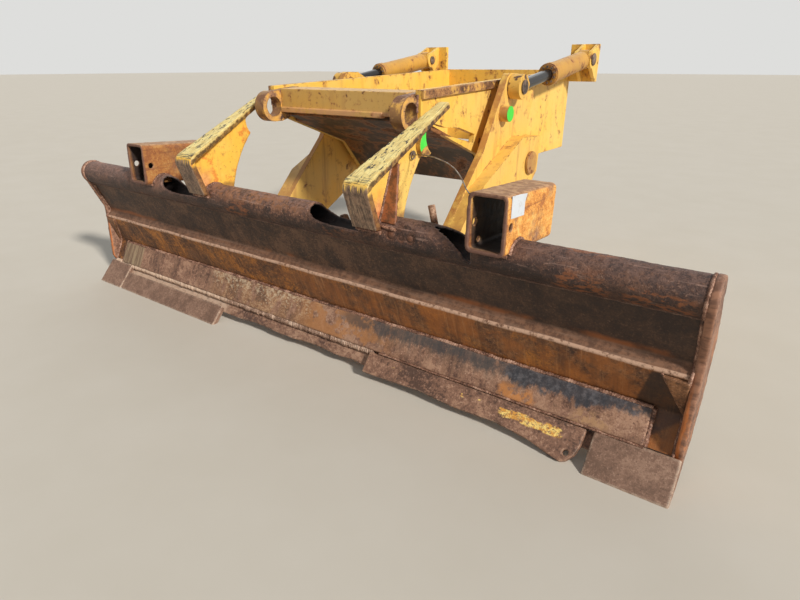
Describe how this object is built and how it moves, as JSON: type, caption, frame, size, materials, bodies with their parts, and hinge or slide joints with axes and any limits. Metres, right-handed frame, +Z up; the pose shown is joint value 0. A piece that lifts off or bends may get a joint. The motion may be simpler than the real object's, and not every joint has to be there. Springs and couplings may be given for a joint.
{
  "type": "skidder blade assembly",
  "caption": "Front blade of a log skidder with hook arms, square-mouthed tubes, push arms and two lift cylinders on the nose of its frame.",
  "frame": {"origin": "middle of the nose's rear face, where the rest of the front frame is welded on", "axes": "+Y to the rear of the machine, square to the rear face; +Z up; +X across the machine, to its left side as the driver sits"},
  "size_m": [3, 1.96, 1.2384],
  "materials": {
    "yellow_paint": "weathered yellow paint, chipped and scratched to dark steel and rust",
    "rusted_steel": "bare rusted steel plate, worn smooth on its edges",
    "pin_steel": "dull greased steel",
    "rod_chrome": "ground and plated rod with a film of oil and dust",
    "green_paint": "bright green paint on round end faces",
    "wire_rope": "thin twisted wire, dull"
  },
  "bodies": {
    "frame_nose": {"nose_crossmember": "yellow_paint", "frame_ear_left": "yellow_paint", "frame_ear_right": "yellow_paint", "side_plate_left": "yellow_paint", "side_plate_right": "yellow_paint", "top_rail_left": "yellow_paint", "top_rail_right": "yellow_paint", "belly_plate": "yellow_paint", "rear_bulkhead": "yellow_paint", "pivot_pin_left": "pin_steel", "pivot_pin_right": "pin_steel", "cylinder_bracket_left": "yellow_paint", "cylinder_bracket_right": "yellow_paint", "base_pin_left": "pin_steel", "base_pin_right": "pin_steel"},
    "blade": {"moldboard": "rusted_steel", "top_roll": "rusted_steel", "wear_plate": "rusted_steel", "base_edge": "rusted_steel", "centre_edge": "rusted_steel", "end_bit_left_outer": "rusted_steel", "end_bit_left_inner": "rusted_steel", "end_bit_right": "rusted_steel", "end_plate_left": "rusted_steel", "end_plate_right": "rusted_steel", "corner_gussets": "rusted_steel", "back_beam": "rusted_steel", "back_ribs": "rusted_steel", "socket_left": "rusted_steel", "socket_right": "rusted_steel", "hook_arm_left": "yellow_paint", "hook_arm_right": "yellow_paint", "hook_pad_left": "green_paint", "hook_pad_right": "green_paint", "push_arm_left": "yellow_paint", "push_arm_right": "yellow_paint", "arm_tie": "yellow_paint", "stop_rod": "rusted_steel", "lock_ring": "pin_steel", "tether": "wire_rope"},
    "barrel_left": {"barrel_left": "yellow_paint"},
    "barrel_right": {"barrel_right": "yellow_paint"},
    "rod_left": {"rod_left": "rod_chrome", "eye_pin_left": "pin_steel"},
    "rod_right": {"rod_right": "rod_chrome", "eye_pin_right": "pin_steel"}
  },
  "joints": [
    {"name": "blade_lift", "type": "hinge", "parent": "frame_nose", "child": "blade", "pos_m": [0, -0.78, -0.2], "axis": [-1, 0, 0], "range_deg": [-6, 30]},
    {"name": "swing_left", "type": "hinge", "parent": "frame_nose", "child": "barrel_left", "pos_m": [-0.505, -0.1, 0.25], "axis": [1, 0, 0], "range_deg": [-0.2, 0.9]},
    {"name": "swing_right", "type": "hinge", "parent": "frame_nose", "child": "barrel_right", "pos_m": [0.505, -0.1, 0.25], "axis": [1, 0, 0], "range_deg": [-0.2, 0.9]},
    {"name": "slide_left", "type": "slide", "parent": "barrel_left", "child": "rod_left", "axis": [0, -0.9898, -0.1423], "range_m": [-0.185, 0.038]},
    {"name": "slide_right", "type": "slide", "parent": "barrel_right", "child": "rod_right", "axis": [0, -0.9898, -0.1423], "range_m": [-0.185, 0.038]}
  ],
  "couplings": [
    {"joint": "swing_left", "follows": "blade_lift", "ratio": 0.0285},
    {"joint": "swing_right", "follows": "blade_lift", "ratio": 0.0285},
    {"joint": "slide_left", "follows": "blade_lift", "m_per_rad": -0.3496},
    {"joint": "slide_right", "follows": "blade_lift", "m_per_rad": -0.3496}
  ]
}
